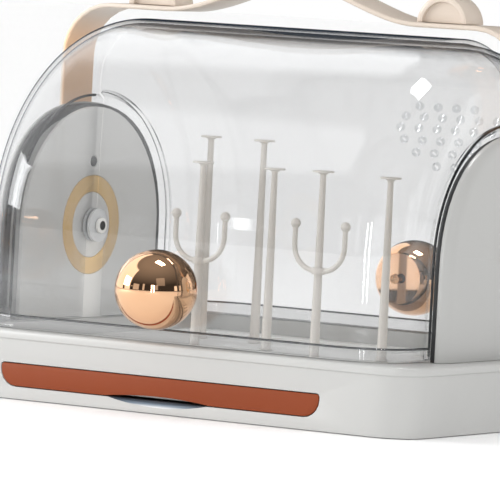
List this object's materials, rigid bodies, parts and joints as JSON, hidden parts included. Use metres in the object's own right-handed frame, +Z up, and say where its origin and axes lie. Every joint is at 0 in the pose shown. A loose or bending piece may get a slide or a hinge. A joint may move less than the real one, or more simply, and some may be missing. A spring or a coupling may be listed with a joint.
{
  "type": "baby bottle drying rack",
  "caption": "Lidded drying box for baby bottles: slotted tray with pegs and teat hooks, clear covers that turn up at front and rear, carry strap and slide-out drip drawer.",
  "frame": {"origin": "middle of the footprint, on the surface that the feet stand on", "axes": "+Z up, +X to the right along the length, -Y towards the front with the drip drawer"},
  "size_m": [0.384, 0.381, 0.2858],
  "materials": {
    "white_plastic": "satin white moulded plastic",
    "clear_plastic": "clear polished plastic",
    "peg_grey": "satin warm grey moulded plastic",
    "seal_rubber": "matt black rubber",
    "foot_rubber": "matt grey rubber",
    "rose_gold": "polished rose gold plated plastic",
    "beige_plastic": "satin beige moulded plastic",
    "drawer_rust": "matt rust-coloured plastic",
    "screw_steel": "dull steel"
  },
  "bodies": {
    "base": {"base_housing": "white_plastic", "base_bottom": "white_plastic", "drain_plate": "white_plastic", "left_drawer_runner": "white_plastic", "right_drawer_runner": "white_plastic", "left_front_foot": "foot_rubber", "left_rear_foot": "foot_rubber", "right_front_foot": "foot_rubber", "right_rear_foot": "foot_rubber", "left_end_shell": "white_plastic", "right_end_shell": "white_plastic", "left_end_panel": "white_plastic", "right_end_panel": "white_plastic", "left_seal": "seal_rubber", "right_seal": "seal_rubber", "left_gold_ring": "rose_gold", "right_gold_ring": "rose_gold", "left_panel_screw": "screw_steel", "right_panel_screw": "screw_steel", "left_pivot_pin": "screw_steel", "right_pivot_pin": "screw_steel", "front_left_peg": "peg_grey", "front_right_peg": "peg_grey", "middle_left_peg": "peg_grey", "middle_right_peg": "peg_grey", "rear_left_peg": "peg_grey", "rear_right_peg": "peg_grey", "left_teat_hook": "peg_grey", "right_teat_hook": "peg_grey", "handle_strap": "beige_plastic", "left_ear": "beige_plastic", "right_ear": "beige_plastic", "left_handle_screw": "beige_plastic", "right_handle_screw": "beige_plastic"},
    "front_cover": {"front_cover": "clear_plastic", "front_knob": "rose_gold", "front_knob_screw": "screw_steel"},
    "rear_cover": {"rear_cover": "clear_plastic", "rear_knob": "rose_gold", "rear_knob_screw": "screw_steel"},
    "drawer": {"drawer_tray": "white_plastic", "drawer_front": "drawer_rust"}
  },
  "joints": [
    {"name": "front_cover_turn", "type": "hinge", "parent": "base", "child": "front_cover", "pos_m": [0, 0, 0.11], "axis": [-1, 0, 0], "range_deg": [0, 43]},
    {"name": "rear_cover_turn", "type": "hinge", "parent": "base", "child": "rear_cover", "pos_m": [0, 0, 0.11], "axis": [1, 0, 0], "range_deg": [0, 43]},
    {"name": "drawer_slide", "type": "slide", "parent": "base", "child": "drawer", "axis": [0, -1, 0], "range_m": [0, 0.2]}
  ]
}
